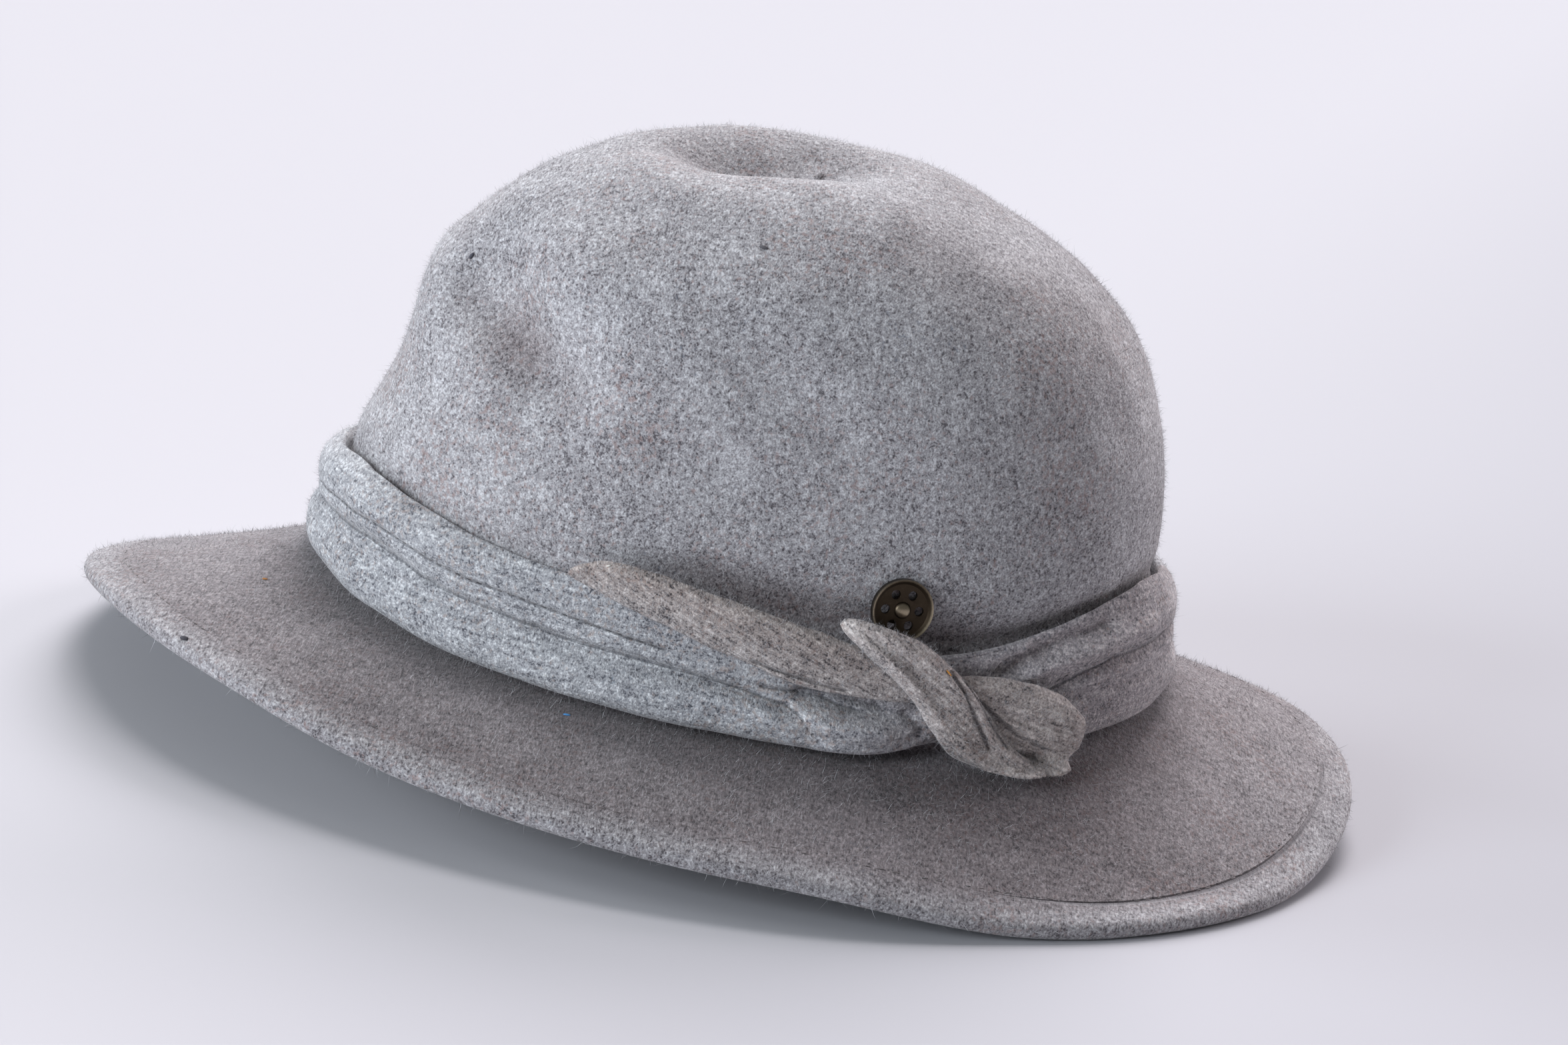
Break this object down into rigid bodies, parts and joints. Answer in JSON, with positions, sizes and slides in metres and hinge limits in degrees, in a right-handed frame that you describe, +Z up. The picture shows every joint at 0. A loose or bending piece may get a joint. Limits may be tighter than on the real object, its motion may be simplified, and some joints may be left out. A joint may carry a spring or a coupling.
{
  "type": "fedora hat",
  "caption": "Soft grey wool-felt fedora with a dented crown, a drooping asymmetric brim, a folded self-felt band knotted at the left side and a round metal stud.",
  "frame": {"origin": "middle of the hat's outline, on the floor that its brim rests on", "axes": "+Z up from the floor, -Y toward the wearer's front, +X toward the wearer's left, where the knot and the stud are"},
  "size_m": [0.2736, 0.3108, 0.1414],
  "materials": {
    "body_felt": "brushed grey melange wool felt",
    "band_felt": "light grey melange wool felt",
    "stud_metal": "antique dark bronze plating"
  },
  "bodies": {
    "root": {"crown_and_brim": "body_felt", "hat_band": "band_felt", "long_tail": "band_felt", "knot_wrap": "band_felt", "short_tail": "band_felt", "metal_stud": "stud_metal"}
  },
  "joints": []
}
